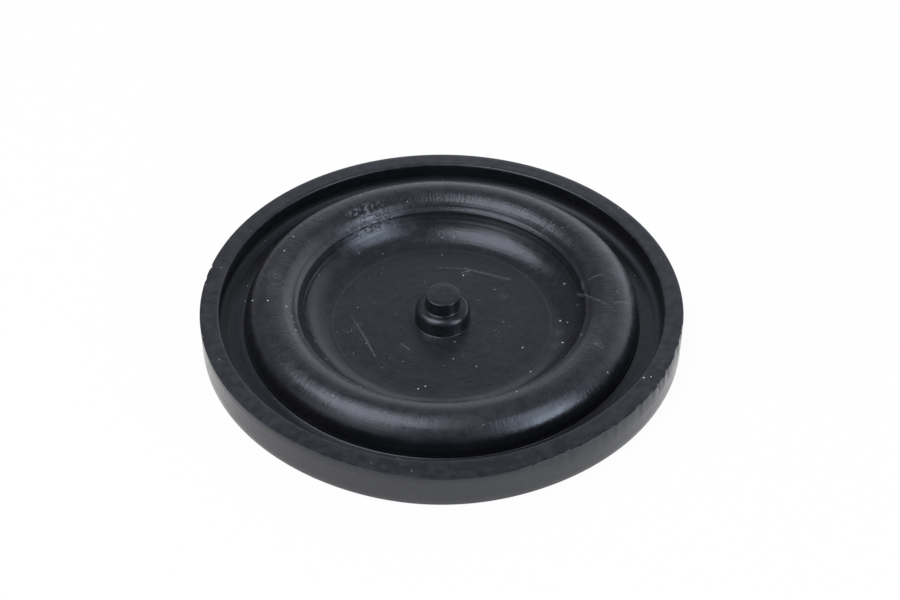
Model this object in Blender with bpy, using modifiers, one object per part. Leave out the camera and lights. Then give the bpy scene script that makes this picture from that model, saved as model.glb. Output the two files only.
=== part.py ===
"""Crankcase ventilation diaphragm: one turned rubber moulding, lying on the underside of its rim.

A square rim bead carries a thin web. From the rim inwards the web is a flat groove, a rolled fold that
stands above the rim, a steep cup wall with a moulded ledge, and a flat disc with a stepped nub.
Lengths are in metres, +Z is the axis of the part, and the rim's underside lies on Z = 0.
"""

import bpy
from math import cos, pi, radians, sin, tan
from mathutils import Vector

MM = 0.001

# rim bead, clamped between the two halves of a valve housing
RIM_RADIUS = 35.0 * MM
RIM_WIDTH = 2.76 * MM
RIM_HEIGHT = 5.4 * MM
RIM_EDGE_RADIUS = 0.22 * MM

# web and the flat groove inside the rim
WEB = 0.9 * MM
GROOVE_HEIGHT = 2.0 * MM

# rolled fold: crown, outer wall and inner lip
FOLD_CROWN_RADIUS = 24.5 * MM
FOLD_CROWN_HEIGHT = 6.8 * MM
FOLD_OUTER_RADIUS = 28.8 * MM
FOLD_FULLNESS = 2.2
FOLD_INNER_BEND = 4.1 * MM
FOLD_LIP_TILT = radians(43)

# moulded ledge between the fold's lip and the cup wall
LEDGE_STEP = 0.42 * MM
LEDGE_STEP_TILT = radians(62)
LEDGE_WIDTH = 0.57 * MM
LEDGE_TILT = radians(40)

# cup bottom
DISC_RADIUS = 16.1 * MM
DISC_HEIGHT = 1.15 * MM
CUP_BEND = 5.1 * MM
CUP_BEND_TILT = radians(70)

# nub: round-shouldered collar with a flat-topped pin
COLLAR_RADIUS = 4.05 * MM
COLLAR_RISE = 2.7 * MM
COLLAR_SHOULDER = 0.95 * MM
COLLAR_FILLET = 0.15 * MM
PIN_RADIUS = 2.58 * MM
PIN_RISE = 2.2 * MM
PIN_EDGE_RADIUS = 0.22 * MM
PIN_FILLET = 0.2 * MM

TURN_STEPS = 72


def rounded(corner, before, after, radius, steps=3):
    """Points of an arc that rounds a profile corner between the points before and after it."""
    corner, before, after = Vector(corner), Vector(before), Vector(after)
    to_before = (before - corner).normalized()
    to_after = (after - corner).normalized()
    half = to_before.angle(to_after) / 2
    centre = corner + (to_before + to_after).normalized() * radius / sin(half)
    start = corner + to_before * radius / tan(half) - centre
    sweep = start.angle_signed(corner + to_after * radius / tan(half) - centre)
    turn = [-sweep * i / steps for i in range(steps + 1)]
    return [
        (
            centre.x + start.x * cos(a) - start.y * sin(a),
            centre.y + start.x * sin(a) + start.y * cos(a),
        )
        for a in turn
    ]


def nub_profile():
    """From the middle of the pin's top down to the foot of the collar."""
    collar_top = DISC_HEIGHT + COLLAR_RISE
    pin_top = collar_top + PIN_RISE
    pin_centre, pin_corner, pin_foot = (0, pin_top), (PIN_RADIUS, pin_top), (PIN_RADIUS, collar_top)
    shoulder, collar_foot = (COLLAR_RADIUS, collar_top), (COLLAR_RADIUS, DISC_HEIGHT)
    disc_edge = (DISC_RADIUS, DISC_HEIGHT)
    return (
        [pin_centre]
        + rounded(pin_corner, pin_centre, pin_foot, PIN_EDGE_RADIUS, 2)
        + rounded(pin_foot, pin_corner, shoulder, PIN_FILLET, 2)
        + rounded(shoulder, pin_foot, collar_foot, COLLAR_SHOULDER, 5)
        + rounded(collar_foot, shoulder, disc_edge, COLLAR_FILLET, 2)
    )


def cup_profile():
    """From the edge of the flat disc up the cup's bend to the top of its wall."""
    steps = 6
    tilts = [CUP_BEND_TILT * i / steps for i in range(steps + 1)]
    return [(DISC_RADIUS + CUP_BEND * sin(t), DISC_HEIGHT + CUP_BEND * (1 - cos(t))) for t in tilts]


def fold_profile():
    """From the fold's inner lip over its crown to the foot of its outer wall."""
    inner_steps, outer_steps = 4, 9
    inner = [FOLD_LIP_TILT * (1 - i / inner_steps) for i in range(inner_steps)]
    points = [
        (
            FOLD_CROWN_RADIUS - FOLD_INNER_BEND * sin(t),
            FOLD_CROWN_HEIGHT - FOLD_INNER_BEND * (1 - cos(t)),
        )
        for t in inner
    ]
    across = FOLD_OUTER_RADIUS - FOLD_CROWN_RADIUS
    rise = FOLD_CROWN_HEIGHT - GROOVE_HEIGHT
    power = 2 / FOLD_FULLNESS
    for i in range(outer_steps + 1):
        t = pi / 2 * i / outer_steps
        points.append(
            (
                FOLD_CROWN_RADIUS + across * sin(t) ** power,
                GROOVE_HEIGHT + rise * max(cos(t), 0) ** power,
            )
        )
    return points


def ledge_profile(lip):
    """The ledge's inner edge above the cup wall, and the foot of the small slope up to the fold's lip."""
    step_foot = (lip[0] - LEDGE_STEP / tan(LEDGE_STEP_TILT), lip[1] - LEDGE_STEP)
    inner_edge = (step_foot[0] - LEDGE_WIDTH, step_foot[1] - LEDGE_WIDTH * tan(LEDGE_TILT))
    return [inner_edge, step_foot]


def offset_below(points, distance):
    """The profile moved a set distance to its underside, with its corners mitred."""
    moved = []
    for i, point in enumerate(points):
        before = Vector(points[max(i - 1, 0)])
        after = Vector(points[min(i + 1, len(points) - 1)])
        here = Vector(point)
        first = (here - before).normalized() if i else (after - here).normalized()
        last = (after - here).normalized() if i < len(points) - 1 else first
        normals = Vector((first.y, -first.x)), Vector((last.y, -last.x))
        middle = (normals[0] + normals[1]).normalized()
        moved.append(tuple(here + middle * distance / middle.dot(normals[0])))
    return moved


def rim_profile():
    """The rim bead from the inner edge of its top, down its outer side, to the inner edge below."""
    inner = RIM_RADIUS - RIM_WIDTH
    foot, top_in = (inner, GROOVE_HEIGHT), (inner, RIM_HEIGHT)
    top_out, bottom_out, bottom_in = (RIM_RADIUS, RIM_HEIGHT), (RIM_RADIUS, 0), (inner, 0)
    below_web = (inner, GROOVE_HEIGHT - WEB)
    return (
        rounded(top_in, foot, top_out, RIM_EDGE_RADIUS, 2)
        + rounded(top_out, top_in, bottom_out, RIM_EDGE_RADIUS, 2)
        + rounded(bottom_out, top_out, bottom_in, RIM_EDGE_RADIUS, 2)
        + rounded(bottom_in, bottom_out, below_web, RIM_EDGE_RADIUS, 2)
        + [below_web]
    )


def diaphragm_profile():
    """The whole half section, from the axis above, outwards and back under a web without the ledge."""
    cup, fold = cup_profile(), fold_profile()
    rim_foot = (RIM_RADIUS - RIM_WIDTH, GROOVE_HEIGHT)
    upper = cup + ledge_profile(fold[0]) + fold + [rim_foot]
    lower = offset_below(cup + fold + [rim_foot], WEB)[::-1][1:]
    return nub_profile() + upper + rim_profile() + lower + [(0, DISC_HEIGHT - WEB)]


def turned(name, profile, steps):
    """A solid of revolution about Z from a half section in the XZ plane."""
    mesh = bpy.data.meshes.new(name)
    count = len(profile)
    mesh.from_pydata([(r, 0, z) for r, z in profile], [(i, i + 1) for i in range(count - 1)], [])
    solid = bpy.data.objects.new(name, mesh)
    screw = solid.modifiers.new("turn", "SCREW")
    screw.axis = "Z"
    screw.angle = 2 * pi
    screw.steps = steps
    screw.render_steps = steps
    screw.use_merge_vertices = True
    screw.merge_threshold = 0.00001
    screw.use_smooth_shade = True
    return solid


def rubber():
    material = bpy.data.materials.new("black_rubber")
    material.use_nodes = True
    shader = material.node_tree.nodes["Principled BSDF"]
    shader.inputs["Base Color"].default_value = (0.012, 0.012, 0.013, 1)
    shader.inputs["Roughness"].default_value = 0.42
    shader.inputs["Metallic"].default_value = 0.0
    return material


def clear_scene():
    for item in list(bpy.data.objects):
        bpy.data.objects.remove(item, do_unlink=True)


def build():
    clear_scene()
    collection = bpy.data.collections.new("ventilation_diaphragm")
    bpy.context.scene.collection.children.link(collection)
    diaphragm = turned("diaphragm", diaphragm_profile(), TURN_STEPS)
    diaphragm.data.materials.append(rubber())
    collection.objects.link(diaphragm)


build()
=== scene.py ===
from math import atan2, cos, exp, hypot, pi, radians, sin, tan

import bmesh
import bpy
from mathutils import Matrix, Vector, noise


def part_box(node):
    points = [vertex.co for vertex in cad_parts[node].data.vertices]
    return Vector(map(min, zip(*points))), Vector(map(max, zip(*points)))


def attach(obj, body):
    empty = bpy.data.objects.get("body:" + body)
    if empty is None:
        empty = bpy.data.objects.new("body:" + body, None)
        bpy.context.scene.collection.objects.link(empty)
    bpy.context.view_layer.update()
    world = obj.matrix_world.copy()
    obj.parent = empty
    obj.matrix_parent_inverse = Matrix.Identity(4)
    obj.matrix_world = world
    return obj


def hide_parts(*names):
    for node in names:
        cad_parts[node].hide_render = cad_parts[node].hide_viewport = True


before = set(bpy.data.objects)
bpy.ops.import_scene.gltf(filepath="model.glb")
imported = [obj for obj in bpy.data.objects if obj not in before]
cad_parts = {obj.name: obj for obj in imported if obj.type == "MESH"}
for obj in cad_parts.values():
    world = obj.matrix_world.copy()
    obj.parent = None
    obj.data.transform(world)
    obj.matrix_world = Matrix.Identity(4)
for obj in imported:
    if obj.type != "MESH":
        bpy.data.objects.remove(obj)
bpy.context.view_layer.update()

# The diaphragm's half section. It is one compression-moulded rubber part, so the nub, the disc, the cup, the
# ledge, the rolled fold, the groove and the square rim bead all run on from one another without a joint.
MM = 0.001
cad_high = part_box("diaphragm")[1]
RIM_RADIUS = cad_high[0] / MM
CROWN_HEIGHT = cad_high[2] / MM
RIM_WIDTH = 2.76
RIM_HEIGHT = 5.4
RIM_EDGE = 0.3
RIM_TOP_EDGE = 0.1
WEB = 0.9
GROOVE_HEIGHT = 2.0
GROOVE_FILLET = 0.22
RIM_FILLET = 1.0
CROWN_RADIUS = 24.5
FOLD_OUTER_RADIUS = 28.8
FOLD_FULLNESS = 2.2
FOLD_INNER_BEND = 4.1
LIP_TILT = radians(43)
LIP_EDGE = 0.3
STEP_HEIGHT = 0.42
STEP_TILT = radians(62)
STEP_FOOT = 0.25
LEDGE_WIDTH = 0.57
LEDGE_TILT = radians(40)
LEDGE_EDGE = 0.1
MOULD_LINE = 0.03
MOULD_LINE_TILT = radians(54.5)
DISC_RADIUS = 16.1
DISC_HEIGHT = 1.15
WITNESS_WIDTH = 0.36
WITNESS_HEIGHT = 0.012
CUP_BEND = 5.1
CUP_TILT = radians(70)
COLLAR_RADIUS = 4.05
COLLAR_RISE = 2.7
COLLAR_SHOULDER = 0.95
COLLAR_FILLET = 0.15
PIN_RADIUS = 2.58
PIN_RISE = 2.2
PIN_EDGE = 0.16
PIN_FILLET = 0.2

section = bmesh.new()
outline = []
corners = []


def run(points):
    """Carries the outline on through points of radius and height, in millimetres."""
    for r, z in points:
        outline.append(section.verts.new((r * MM, 0, z * MM)))
        if len(outline) > 1:
            section.edges.new(outline[-2:])


def corner(r, z, radius, segments):
    """A point of the outline that is rounded once the outline is whole."""
    run([(r, z)])
    corners.append((outline[-1], radius, segments))


def straight(start, end, steps):
    """The points between two ends, both left out."""
    shares = [i / steps for i in range(1, steps)]
    return [(start[0] + (end[0] - start[0]) * s, start[1] + (end[1] - start[1]) * s) for s in shares]


def cup_bend(steps, line):
    """From the disc up to the top of the cup's wall, with a mould line that stands out this much."""
    points = []
    for i in range(steps + 1):
        tilt = CUP_TILT * i / steps
        bend = CUP_BEND - line * exp(-(((tilt - MOULD_LINE_TILT) / radians(2)) ** 2))
        points.append((DISC_RADIUS + bend * sin(tilt), DISC_HEIGHT + CUP_BEND - bend * cos(tilt)))
    return points


def fold_inside(steps):
    """From the lip up to the crown, the crown left out."""
    tilts, bend = [LIP_TILT * (1 - i / steps) for i in range(steps)], FOLD_INNER_BEND
    return [(CROWN_RADIUS - bend * sin(t), CROWN_HEIGHT - bend * (1 - cos(t))) for t in tilts]


def fold_outside(steps):
    """From the crown down to the fillet at the foot, fuller than a circle's arc."""
    across, rise, power = FOLD_OUTER_RADIUS - CROWN_RADIUS, CROWN_HEIGHT - GROOVE_HEIGHT, 2 / FOLD_FULLNESS
    turns = [pi / 2 * i / steps for i in range(steps)]
    steps_down = [(across * sin(t) ** power, rise * cos(t) ** power) for t in turns]
    return [(CROWN_RADIUS + r, GROOVE_HEIGHT + z) for r, z in steps_down if z > GROOVE_FILLET]


collar_top = DISC_HEIGHT + COLLAR_RISE
pin_top = collar_top + PIN_RISE
run([(0, pin_top), (PIN_RADIUS / 2, pin_top)])
corner(PIN_RADIUS, pin_top, PIN_EDGE, 4)
corner(PIN_RADIUS, collar_top, PIN_FILLET, 4)
corner(COLLAR_RADIUS, collar_top, COLLAR_SHOULDER, 10)
corner(COLLAR_RADIUS, DISC_HEIGHT, COLLAR_FILLET, 3)
run(straight((COLLAR_RADIUS, DISC_HEIGHT), (DISC_RADIUS, DISC_HEIGHT), 8))
run([(DISC_RADIUS - WITNESS_WIDTH, DISC_HEIGHT)])
run([(DISC_RADIUS - WITNESS_WIDTH / 2, DISC_HEIGHT + WITNESS_HEIGHT)])
cup = cup_bend(56, MOULD_LINE)
lip = fold_inside(1)[0]
step_foot = (lip[0] - STEP_HEIGHT / tan(STEP_TILT), lip[1] - STEP_HEIGHT)
ledge_edge = (step_foot[0] - LEDGE_WIDTH, step_foot[1] - LEDGE_WIDTH * tan(LEDGE_TILT))
run(cup)
corner(*ledge_edge, LEDGE_EDGE, 3)
corner(*step_foot, STEP_FOOT, 3)
corner(*lip, LIP_EDGE, 3)
run(fold_inside(14)[1:])
run(fold_outside(32))
rim_inside = RIM_RADIUS - RIM_WIDTH
corner(FOLD_OUTER_RADIUS, GROOVE_HEIGHT, GROOVE_FILLET, 4)
corner(rim_inside, GROOVE_HEIGHT, RIM_FILLET, 8)
corner(rim_inside, RIM_HEIGHT, RIM_EDGE, 4)
run(straight((rim_inside, RIM_HEIGHT), (RIM_RADIUS, RIM_HEIGHT), 4))
corner(RIM_RADIUS, RIM_HEIGHT, RIM_TOP_EDGE, 3)
run(straight((RIM_RADIUS, RIM_HEIGHT), (RIM_RADIUS, 0), 4))
corner(RIM_RADIUS, 0, RIM_EDGE, 3)
corner(rim_inside, 0, RIM_EDGE, 3)


def underside(points):
    """The points moved down through the web by its thickness, square to the surface."""
    moved = []
    for i, point in enumerate(points):
        before, after = Vector(points[max(i - 1, 0)]), Vector(points[min(i + 1, len(points) - 1)])
        along = (after - before).normalized()
        moved.append((point[0] + along.y * WEB, point[1] - along.x * WEB))
    return moved


run([(rim_inside, GROOVE_HEIGHT - WEB)])
under = underside(cup_bend(6, 0) + fold_inside(4) + fold_outside(8) + [(FOLD_OUTER_RADIUS, GROOVE_HEIGHT)])
run(under[::-1])
run([(0, DISC_HEIGHT - WEB)])
for vert, radius, segments in corners:
    bmesh.ops.bevel(
        section, geom=[vert], offset=radius * MM, offset_type="OFFSET", segments=segments, profile=0.5,
        affect="VERTICES", material=-1,
    )

# The moulding itself, turned from that section, with the small faults of the part in the photograph: a rim
# edge trimmed by hand on the right and nicked on the left, a rim that spreads in front and leans in over the
# groove on the left and at the front right, a nub that sits off the axis, and faint waves in the web.
SECTORS = 12
SECTOR_STEPS = 40
FRONT_SPREAD = 0.7
FRONT_SPREAD_WIDTH = radians(24)
TRIM_START, TRIM_END = radians(-76), radians(-5)
TRIM_DEPTH = 0.45
TRIM_FADE = 0.2
JAGS, FINE_JAGS = 24, 55
NICKS = ((radians(169), 0.4), (radians(173.6), 0.2), (radians(-165.8), 0.35))
NICK_WIDTH = 0.25
LEAN = 0.45
LEAN_WIDTH = radians(34)
OVERHANG = 0.5
OVERHANG_PLACE = radians(-48)
OVERHANG_WIDTH = radians(26)
WAVE_HEIGHT = 0.03
WAVES, FINE_WAVES = 160, 420
WAVES_RISE = (5, 17)
WAVES_FADE = (28.5, 30)
SMOOTH_UP_TO = radians(50)
NUB_SHIFT = Vector((0.16, 0.1, 0)) * MM
NUB_SHIFT_FADE = (4.2, 8)

bmesh.ops.spin(
    section, geom=section.verts[:] + section.edges[:], cent=(0, 0, 0), axis=(0, 0, 1), angle=2 * pi / SECTORS,
    steps=SECTOR_STEPS,
)
bmesh.ops.spin(
    section, geom=section.verts[:] + section.edges[:] + section.faces[:], cent=(0, 0, 0), axis=(0, 0, 1),
    angle=2 * pi * (SECTORS - 1) / SECTORS, steps=SECTORS - 1, use_duplicate=True,
)
bmesh.ops.remove_doubles(section, verts=section.verts, dist=0.0001 * MM)
bmesh.ops.recalc_face_normals(section, faces=section.faces)


def turn_between(a, b):
    """The unsigned angle between two directions round the axis."""
    return abs((a - b + pi) % (2 * pi) - pi)


def hill(angle, place, width):
    """1 in one direction round the axis, and less on both sides of it."""
    return exp(-((turn_between(angle, place) / width) ** 2))


def smooth_step(value, low, high):
    """0 below low, 1 above high, with a smooth step between."""
    share = min(max((value - low) / (high - low), 0), 1)
    return share * share * (3 - 2 * share)


def rim_change(angle, z):
    """How far the rim's outer edge stands out at this angle and height, in millimetres."""
    high = z / RIM_HEIGHT
    edge = smooth_step(high, 0.8, 0.96)
    spread = FRONT_SPREAD * (0.6 + 0.4 * high) * hill(angle, -pi / 2, FRONT_SPREAD_WIDTH)
    jag = noise.noise(Vector((angle * JAGS, 0, 5)))
    fine_jag = noise.noise(Vector((angle * FINE_JAGS, 3, 0)))
    start = smooth_step(angle, TRIM_START, TRIM_START + TRIM_FADE)
    end = smooth_step(angle, TRIM_END - TRIM_FADE, TRIM_END)
    trimmed = TRIM_DEPTH * max(0.5 + 0.5 * jag + 0.6 * fine_jag, 0) * start * (1 - end)
    nicked = sum(depth * hill(angle, place, NICK_WIDTH / RIM_RADIUS) for place, depth in NICKS)
    return spread - (trimmed + nicked) * edge


def wall_lean(angle, r, z):
    """How far the foot of the rim's inner wall stands back on the left, in millimetres."""
    if z < GROOVE_HEIGHT - 0.4 or r > rim_inside + 0.05:
        return 0
    at_foot = smooth_step(r, rim_inside - 1.64, rim_inside - 0.34)
    at_foot *= smooth_step(z, GROOVE_HEIGHT - 0.4, GROOVE_HEIGHT - 0.05)
    at_foot *= 1 - smooth_step(z, RIM_HEIGHT - 2.2, RIM_HEIGHT - 0.4)
    return LEAN * hill(angle, pi, LEAN_WIDTH) * at_foot


def edge_overhang(angle, r, z):
    """How far the rim's inner top edge stands in over the groove at the front right, in millimetres."""
    if r < FOLD_OUTER_RADIUS:
        return 0
    at_edge = smooth_step(z, RIM_HEIGHT - 2.4, RIM_HEIGHT - 0.4)
    at_edge *= 1 - smooth_step(r, rim_inside + RIM_EDGE, rim_inside + 1.5)
    return OVERHANG * hill(angle, OVERHANG_PLACE, OVERHANG_WIDTH) * at_edge


section.normal_update()
for vert in section.verts:
    r, z = hypot(vert.co.x, vert.co.y) / MM, vert.co.z / MM
    angle = atan2(vert.co.y, vert.co.x)
    wave = noise.noise(vert.co * WAVES) + 0.5 * noise.noise(vert.co * FINE_WAVES)
    in_web = smooth_step(r, *WAVES_RISE) * (1 - smooth_step(r, *WAVES_FADE))
    vert.co += vert.normal * wave * WAVE_HEIGHT * in_web * MM
    outwards = wall_lean(angle, r, z) - edge_overhang(angle, r, z)
    if r > rim_inside:
        outwards += rim_change(angle, z) * smooth_step(r, rim_inside, RIM_RADIUS)
    vert.co += Vector((cos(angle), sin(angle), 0)) * outwards * MM
    vert.co += NUB_SHIFT * (1 - smooth_step(r, *NUB_SHIFT_FADE))

mesh = bpy.data.meshes.new("moulded_diaphragm")
section.to_mesh(mesh)
section.free()
mesh.shade_smooth()
mesh.set_sharp_from_angle(angle=SMOOTH_UP_TO)
diaphragm = bpy.data.objects.new("moulded_diaphragm", mesh)
bpy.context.scene.collection.objects.link(diaphragm)


class Value:
    """One value in a material, on which the usual operators add Math nodes."""

    def __init__(self, tree, socket):
        self.tree = tree
        self.socket = socket

    def node(self, kind, settings, inputs, output=0):
        """Adds a node with its settings and then its inputs, and returns one of its outputs."""
        made = self.tree.nodes.new(kind)
        for name, setting in settings.items():
            setattr(made, name, setting)
        for name, given in inputs.items():
            if isinstance(given, Value):
                self.tree.links.new(given.socket, made.inputs[name])
            else:
                made.inputs[name].default_value = given
        return Value(self.tree, made.outputs[output])

    def maths(self, operation, *inputs):
        """Adds a Math node."""
        return self.node("ShaderNodeMath", {"operation": operation}, dict(enumerate(inputs)))

    def __add__(self, other):
        return self.maths("ADD", self, other)

    def __radd__(self, other):
        return self.maths("ADD", other, self)

    def __sub__(self, other):
        return self.maths("SUBTRACT", self, other)

    def __rsub__(self, other):
        return self.maths("SUBTRACT", other, self)

    def __mul__(self, other):
        return self.maths("MULTIPLY", self, other)

    def __rmul__(self, other):
        return self.maths("MULTIPLY", other, self)

    def __truediv__(self, other):
        return self.maths("DIVIDE", self, other)

    def __pow__(self, other):
        return self.maths("POWER", self, other)

    def greatest(self, other):
        return self.maths("MAXIMUM", self, other)

    def least(self, other):
        return self.maths("MINIMUM", self, other)

    def rise(self, low, high):
        """0 below low, 1 above high, with a smooth step between."""
        inputs = {"Value": self, "From Min": low, "From Max": high}
        return self.node("ShaderNodeMapRange", {"interpolation_type": "SMOOTHSTEP"}, inputs)

    def band(self, low, high, soft):
        """1 between low and high, with soft ends."""
        return self.rise(low - soft, low + soft) * (1 - self.rise(high - soft, high + soft))

    def join(self, y, z):
        """The vector of this value and two more."""
        return self.node("ShaderNodeCombineXYZ", {}, {"X": self, "Y": y, "Z": z})

    def grain(self, scale, detail=2.0, roughness=0.5):
        """Noise of this scale, from a vector."""
        inputs = {"Vector": self, "Scale": scale, "Detail": detail, "Roughness": roughness}
        return self.node("ShaderNodeTexNoise", {}, inputs)

    def tint(self, first, second):
        """The first colour where this value is 0, the second where it is 1."""
        return self.node("ShaderNodeMix", {"data_type": "RGBA"}, {0: self, 6: first, 7: second}, 2)


# The rubber: near-black and satin. The mould left fine turned rings and, on the fold, short strokes across
# them. Over that lie a grey bloom on the crest and the scratches, dust and smudges of this one part, with a
# scuff on the lip at the back left. Light and shade are painted in too: a grazing sheen along the crest's
# outer edge at the back, highlight flecks in the scuff, a thin highlight line round the edge of the disc, and
# shade in the groove. The rim's top is darker towards the front.
RUBBER_BLACK = (0.0066, 0.0067, 0.0080, 1)
# The bloom grey also paints a grazing sheen on the crest's outer edge at the back.
BLOOM_AND_SHEEN_GREY = (0.072, 0.070, 0.072, 1)
# The dust white also paints the highlight flecks in the scuff and a highlight line round the disc.
DUST_AND_GLINT_WHITE = (0.43, 0.42, 0.45, 1)
SPECK_WHITE = (0.68, 0.67, 0.66, 1)
SHEEN_COLOUR = (0.955, 0.965, 1, 1)
ROUGHNESS = 0.27
ROUGHNESS_LEAST = 0.15
RUBBER_INDEX = 1.54
RELIEF = 0.022 * MM
RING_RADIUS = 20
SCRATCHES = (
    ((-0.7, 11.8), (3.5, 11.6), 0.12),
    ((3.5, 11.6), (10.2, 9.1), 0.22),
    ((3.0, 10.6), (4.1, 11.1), 0.16),
    ((-13.3, 0.5), (-11.7, -2.7), 0.08),
    ((-11.7, -2.7), (-9.5, -8.0), 0.15),
    ((-5.8, -5.3), (-4.6, -6.5), 0.16),
    ((21.5, 3.7), (23.5, 3.8), 0.14),
    ((20.6, 4.4), (20.8, 2.6), 0.11),
    ((20.0, 3.4), (22.0, -0.6), 0.13),
    ((22.0, -0.6), (23.5, -2.6), 0.14),
    ((24.8, -2.4), (27.4, -1.6), 0.12),
    ((15.1, 15.3), (17.0, 15.7), 0.09),
    ((21.3, -10.9), (22.5, -11.9), 0.16),
)
SPECKS = (
    (3.2, 10.0, 0.14), (17.4, -0.3, 0.16), (18.4, -1.1, 0.13), (17.5, -5.4, 0.17), (11.7, -6.0, 0.15),
    (12.7, -11.0, 0.13), (19.9, -7.4, 0.11), (17.9, -12.2, 0.12), (-3.2, -14.6, 0.13), (-2.2, -14.1, 0.13),
    (10.3, -20.5, 0.12), (7.9, 6.8, 0.09), (5.0, -10.0, 0.10), (1.7, -8.4, 0.10), (1.9, -4.8, 0.09),
    (17.4, 11.4, 0.15), (18.3, 6.7, 0.12), (-12.5, 2.5, 0.09), (23.1, -15.4, 0.11), (28.0, -16.5, 0.15),
    (29.0, -16.3, 0.10), (-27.4, -1.2, 0.15), (-25.0, -2.4, 0.15), (-23.5, 8.9, 0.12), (-22.4, 12.3, 0.14),
    (-22.3, -3.1, 0.11), (-21.4, -4.8, 0.09), (-21.0, -6.0, 0.10), (-20.6, -7.7, 0.12), (-19.4, -9.4, 0.09),
)
SMUDGES = (
    (17.0, -2.9, 1.6), (16.7, -5.6, 1.4), (3.7, 10.7, 1.2), (9.3, 5.2, 1.0), (-12.4, -1.2, 1.0),
    (-24.6, 3.4, 1.9), (-24.2, 0.6, 1.6), (-19.9, -8.6, 1.6), (24.0, 10.6, 2.4), (25.8, 4.4, 2.2),
    (21.9, -11.2, 1.4),
)
SCUFF_AND_GLINT_SPOT = (-11.1, 18.0, 4.4)

material = bpy.data.materials.new("black_rubber")
material.use_nodes = True
tree = material.node_tree
shader = tree.nodes["Principled BSDF"]
place = Value(tree, tree.nodes.new("ShaderNodeTexCoord").outputs["Object"])
x, y, z = (place.node("ShaderNodeSeparateXYZ", {}, {0: place}, i) / MM for i in range(3))
facing = Value(tree, tree.nodes.new("ShaderNodeNewGeometry").outputs["Normal"])
upward = facing.node("ShaderNodeSeparateXYZ", {}, {0: facing}, 2)
r = (x * x + y * y + 0.01) ** 0.5
across, along = x / r, y / r


def rings(pitch, length):
    """Noise drawn out round the axis: this far apart on the surface, and this long, in millimetres."""
    turned = (r / pitch).join(z / pitch, across * (RING_RADIUS / length))
    inputs = {"Vector": turned, "W": along * (RING_RADIUS / length), "Scale": 1.0}
    return place.node("ShaderNodeTexNoise", {"noise_dimensions": "4D"}, inputs)


def strokes(pitch, length):
    """Noise drawn out towards the axis: this far apart round the fold, and this long, in millimetres."""
    spread = CROWN_RADIUS / pitch
    return (across * spread).join(along * spread, r / length).grain(1.0)


def scratch(start, end, width):
    """A mark from one point of the plan to another, fading at its sides."""
    run_x, run_y = end[0] - start[0], end[1] - start[1]
    from_x, from_y = x - start[0], y - start[1]
    share = ((from_x * run_x + from_y * run_y) / (run_x**2 + run_y**2)).greatest(0).least(1)
    off_x, off_y = from_x - share * run_x, from_y - share * run_y
    return 1 - ((off_x * off_x + off_y * off_y) ** 0.5).rise(width * 0.2, width * 1.4)


def spot(at_x, at_y, size, heart=0.5):
    """A round spot at one point of the plan, full up to this share of its size."""
    off_x, off_y = x - at_x, y - at_y
    return 1 - ((off_x * off_x + off_y * off_y) ** 0.5).rise(size * heart, size)


def strongest(first, *others):
    """The greatest of several masks at each point."""
    for other in others:
        first = first.greatest(other)
    return first


def scattered(cells_each_mm, size, share):
    """Dots of this size in a share of the cells that the plan is cut into."""
    inputs = {"Vector": x.join(y, 0.0), "Scale": cells_each_mm, "Randomness": 1.0}
    near = place.node("ShaderNodeTexVoronoi", {"voronoi_dimensions": "2D"}, inputs, 0)
    colour = place.node("ShaderNodeTexVoronoi", {"voronoi_dimensions": "2D"}, inputs, 1)
    pick = place.node("ShaderNodeSeparateColor", {}, {0: colour}, 0)
    dot = 1 - near.rise(size * cells_each_mm * 0.5, size * cells_each_mm)
    return dot * pick.rise(1 - share, 1.001 - share)


grit = place.grain(4200.0, 2.0, 0.6)
patches = place.grain(700.0, 3.0, 0.6)
clouds = place.grain(150.0)
flat = upward.rise(0.45, 0.75)
fold = r.band(lip[0] + 0.2, FOLD_OUTER_RADIUS, 0.15) * z.rise(2.6, 3.4)
crest = r.band(CROWN_RADIUS - 1.3, CROWN_RADIUS + 3.3, 0.7) * z.rise(3.6, 4.8)
crest_edge = r.band(CROWN_RADIUS + 2.0, CROWN_RADIUS + 3.8, 0.35) * z.rise(3.6, 4.8)
lip_ring = r.band(lip[0] - 0.9, lip[0] + 1.3, 0.3) * z.rise(4.4, 4.8)
ledge = r.band(lip[0] - 1.5, lip[0], 0.1) * z.rise(3.6, 4.0)
groove = r.band(FOLD_OUTER_RADIUS - 0.4, rim_inside + 0.06, 0.15) * (1 - z.rise(4.6, 5.2))
foot = r.band(FOLD_OUTER_RADIUS - 0.4, FOLD_OUTER_RADIUS + 0.7, 0.15) * (1 - z.rise(2.5, 2.9))
rim_foot = r.band(rim_inside - 1.14, rim_inside + 0.26, 0.15) * (1 - z.rise(3.0, 3.4))
rim_side = r.rise(RIM_RADIUS - 0.8, RIM_RADIUS - 0.3) * (1 - z.rise(RIM_HEIGHT - 0.3, RIM_HEIGHT - 0.1))
rim_top = r.rise(rim_inside - 0.24, rim_inside + 0.06) * z.rise(RIM_HEIGHT - 0.4, RIM_HEIGHT - 0.1)
away = (x * 0.45 + y).rise(-6.0, 16.0)
behind = (x * 0.3 + y).rise(0.0, 18.0)
forward = 0 - y

# Grey bloom on the crest and round the lip, and a painted grazing sheen along the crest's outer edge at the
# back.
bloom_and_sheen = (0.75 + 0.25 * patches.rise(0.3, 0.7)) * grit.rise(0.1, 0.8)
bloom_and_sheen = bloom_and_sheen * (0.2 * crest + 1.6 * crest_edge * behind + 0.7 * lip_ring * (1 - 0.8 * away))
marks = strongest(*(scratch(*stroke) for stroke in SCRATCHES)) * z.rise(0.9, 1.1) * grit.rise(0.3, 0.65)
smudges = strongest(*(spot(*smudge, 0.2) for smudge in SMUDGES)) * z.rise(0.9, 1.1) * grit.rise(0.42, 0.62)
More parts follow.
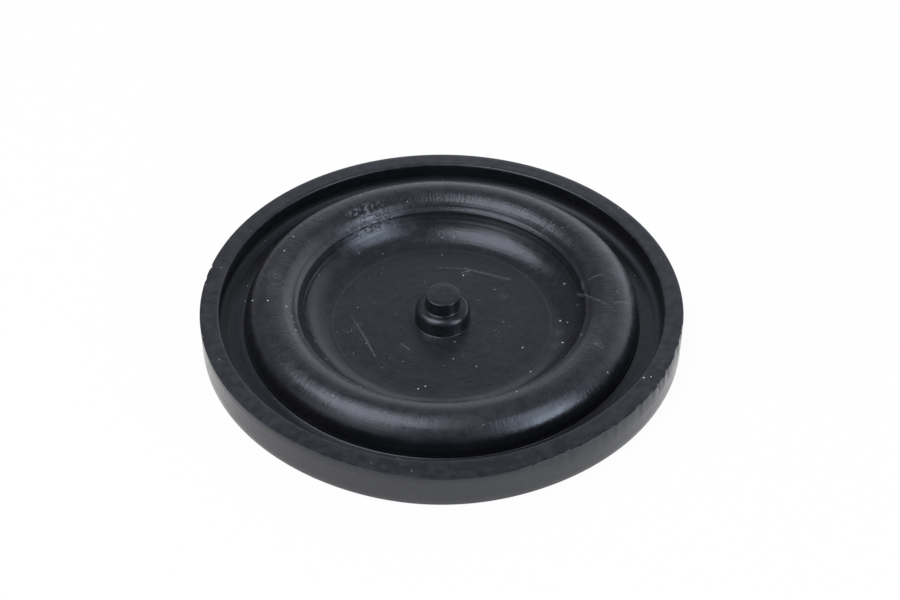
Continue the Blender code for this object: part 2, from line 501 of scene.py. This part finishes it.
# A scuffed, rougher patch on the lip at the back left, whose light flecks are painted highlight.
polish = spot(*SCUFF_AND_GLINT_SPOT, 0.4) * r.band(lip[0] - 1.1, lip[0] + 1.7, 0.4)
scuff_and_glints = polish * place.grain(1400.0, 2.0, 0.6).rise(0.5, 0.6)
clusters = place.grain(330.0, 3.0, 0.7)
dust = strongest(
    *(spot(*speck) for speck in SPECKS),
    scattered(1.9, 0.055, 0.14) * clusters.rise(0.6, 0.68),
    scattered(0.55, 0.07, 0.05),
) * flat * z.rise(0.9, 1.1)

haze_and_painted_light = 0.011 * (0.35 + 0.65 * flat)
haze_and_painted_light = haze_and_painted_light + (patches - 0.42).greatest(0) * 0.035 + (clouds - 0.45).greatest(0) * 0.02
speckle = 0.07 * (grit - 0.2).greatest(0) * patches.rise(0.3, 0.7)
# The rim's top is speckled, and darker towards the front.
haze_and_painted_light = haze_and_painted_light + rim_top * (speckle - 0.004 - 0.016 * forward.rise(20.0, 34.0))
# A painted highlight: a thin lighter line round the edge of the disc.
haze_and_painted_light = haze_and_painted_light + 0.03 * r.band(DISC_RADIUS - 0.2, DISC_RADIUS + 0.05, 0.12) * flat
haze_and_painted_light = haze_and_painted_light + rim_side * (0.01 + 0.015 * strokes(0.5, 8.0))
haze_and_painted_light = haze_and_painted_light + 0.018 * r.band(lip[0] - 1.3, lip[0] + 0.7, 0.5) * (1 - away) * z.rise(4.0, 4.4)
# Painted shade: the haze is thinner in the groove, so the groove is darker.
haze_and_painted_light = haze_and_painted_light * (1 - 0.4 * groove)

base = bloom_and_sheen.tint(RUBBER_BLACK, BLOOM_AND_SHEEN_GREY)
base = haze_and_painted_light.greatest(0).tint(base, DUST_AND_GLINT_WHITE)
base = (marks * 0.2 + smudges * 0.09 + scuff_and_glints * 0.2).least(1).tint(base, DUST_AND_GLINT_WHITE)
base = dust.tint(base, SPECK_WHITE)
tree.links.new(base.socket, shader.inputs["Base Color"])

roughness = ROUGHNESS + 0.3 * (patches - 0.5) * (1 - groove) - 0.07 * groove
roughness = roughness + 0.3 * foot * strokes(0.45, 4.0) + 0.36 * rim_foot + 0.12 * bloom_and_sheen + 0.08 * rim_top
roughness = roughness + 0.25 * dust + 0.2 * marks + 0.45 * scuff_and_glints - 0.1 * polish - 0.05 * rim_side
tree.links.new(roughness.greatest(ROUGHNESS_LEAST).socket, shader.inputs["Roughness"])

combed = strokes(0.38, 1.6) * fold * (1 - 0.55 * forward.rise(8.0, 22.0))
height = combed * 2.3 + rings(0.3, 5.0) * 0.9 + rings(1.1, 14.0) * 1.6 + ledge * rings(0.28, 24.0) * 2.6
height = height + grit * (0.5 + 0.25 * rim_top + 0.35 * fold + 2.0 * scuff_and_glints) + patches * 1.3 + scuff_and_glints * 5.0
bump = place.node("ShaderNodeBump", {}, {"Strength": 1.0, "Distance": RELIEF, "Height": height})
tree.links.new(bump.socket, shader.inputs["Normal"])
shader.inputs["Metallic"].default_value = 0.0
shader.inputs["IOR"].default_value = RUBBER_INDEX
shader.inputs["Specular Tint"].default_value = SHEEN_COLOUR
mesh.materials.append(material)
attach(diaphragm, "root")
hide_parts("diaphragm")

# The white paper that the part lies on. The camera and the rubber's reflections see it as plain white, and
# a share of it stays a lit surface, so that the part keeps its soft shadow.
PAPER_WIDTH = 4.0
PAPER_SHOWN = 0.95
PAPER_COLOUR = (0.9, 0.9, 0.9, 1)
PAPER_ROUGHNESS = 0.9

paper_mesh = bpy.data.meshes.new("paper")
sheet = bmesh.new()
bmesh.ops.create_grid(sheet, x_segments=1, y_segments=1, size=PAPER_WIDTH / 2)
sheet.to_mesh(paper_mesh)
sheet.free()
paper = bpy.data.objects.new("paper", paper_mesh)
bpy.context.scene.collection.objects.link(paper)
paper_material = bpy.data.materials.new("white_paper")
paper_material.use_nodes = True
tree = paper_material.node_tree
lit = tree.nodes["Principled BSDF"]
lit.inputs["Base Color"].default_value = PAPER_COLOUR
lit.inputs["Roughness"].default_value = PAPER_ROUGHNESS
ray = tree.nodes.new("ShaderNodeLightPath")
seen = Value(tree, ray.outputs["Is Camera Ray"]).greatest(Value(tree, ray.outputs["Is Glossy Ray"]))
white = seen.node("ShaderNodeEmission", {}, {"Color": (1, 1, 1, 1), "Strength": 1.0})
surface = Value(tree, lit.outputs["BSDF"])
mixed = seen.node("ShaderNodeMixShader", {}, {0: seen * PAPER_SHOWN, 1: surface, 2: white})
tree.links.new(mixed.socket, tree.nodes["Material Output"].inputs["Surface"])
paper_mesh.materials.append(paper_material)

# The studio: a dim room with a pale wall at the back right and window light low on the left, a soft lamp
# over the left with a fainter one beyond it at the front left, and a tall lamp that stands at the front right
# and is brighter low down. All of them show again in the rubber.
ROOM = 0.22
WALL = 0.85
WINDOW = 0.65
ROOM_COLOUR = (0.86, 0.89, 1, 1)
LEFT_COLOUR = (0.82, 0.86, 1)
WINDOW_COLOUR = (0.84, 0.88, 1)
STAND_COLOUR = (0.72, 0.83, 1)
LAMP_DISTANCE = 0.6
STAND_HEADING = radians(-31)
STAND_LEAN = radians(6)

world = bpy.data.worlds.new("studio")
bpy.context.scene.world = world
world.use_nodes = True
tree = world.node_tree
sky = Value(tree, tree.nodes.new("ShaderNodeTexCoord").outputs["Generated"])
aside, deep, up = (sky.node("ShaderNodeSeparateXYZ", {}, {0: sky}, i) for i in range(3))
heading, climb = up.maths("ARCTAN2", deep, aside), up.maths("ARCSINE", up)


def outlook(start, end, top, soft):
    """The share of the room between two headings and up to a height, all in degrees, with soft edges."""
    below = 1 - climb.rise(radians(top - soft), radians(top + soft))
    return heading.band(radians(start), radians(end), radians(soft)) * below


strength = ROOM + WALL * outlook(14, 103, 37, 15) + WINDOW * outlook(-167, -117, 23, 9)
tree.nodes["Background"].inputs["Color"].default_value = ROOM_COLOUR
tree.links.new(strength.socket, tree.nodes["Background"].inputs["Strength"])


def softbox(name, middle, turn, width, depth, light, colour):
    """A rectangular lamp; unturned it faces straight down."""
    lamp = bpy.data.lights.new(name, "AREA")
    lamp.shape = "RECTANGLE"
    lamp.size = width
    lamp.size_y = depth
    lamp.color = colour
    lamp.energy = light * pi * width * depth
    box = bpy.data.objects.new(name, lamp)
    box.location = middle
    box.rotation_euler = turn
    bpy.context.scene.collection.objects.link(box)


stand = Vector((cos(STAND_HEADING), sin(STAND_HEADING), 0)) * LAMP_DISTANCE
stand_turn = (pi / 2, STAND_LEAN, STAND_HEADING + pi / 2)
softbox("left_softbox", (-0.325, -0.105, 0.6), (0, 0, radians(8)), 0.57, 0.55, 4.2, LEFT_COLOUR)
softbox("left_window", (-0.7, -0.66, 0.6), (0, 0, 0), 0.87, 0.48, 1.4, WINDOW_COLOUR)
softbox("standing_softbox", stand + Vector((0, 0, 0.5)), stand_turn, 0.355, 0.98, 3.6, STAND_COLOUR)
softbox("standing_glow", stand * 0.97 + Vector((0, 0, 0.16)), stand_turn, 0.24, 0.25, 3.0, STAND_COLOUR)

# The camera, at the photograph's angle: a long lens about seven rim radii away.
VIEW_HEIGHT = radians(41.34)
VIEW_ROLL = radians(0.32)
DISTANCE = 7.0 * RIM_RADIUS * MM
ASIDE = Vector((0.034, -0.0096)) * RIM_RADIUS * MM
LENS = 67.4

camera = bpy.data.objects.new("camera", bpy.data.cameras.new("camera"))
camera.data.sensor_width = 36
camera.data.lens = LENS
camera.data.clip_start = 0.01
turn = Matrix.Rotation(pi / 2 - VIEW_HEIGHT, 4, "X") @ Matrix.Rotation(VIEW_ROLL, 4, "Z")
aim = Vector((0, 0, RIM_HEIGHT * MM))
camera.matrix_world = Matrix.Translation(aim + turn @ Vector((ASIDE.x, ASIDE.y, DISTANCE))) @ turn
bpy.context.scene.collection.objects.link(camera)
bpy.context.scene.camera = camera
bpy.context.scene.view_settings.view_transform = "Standard"
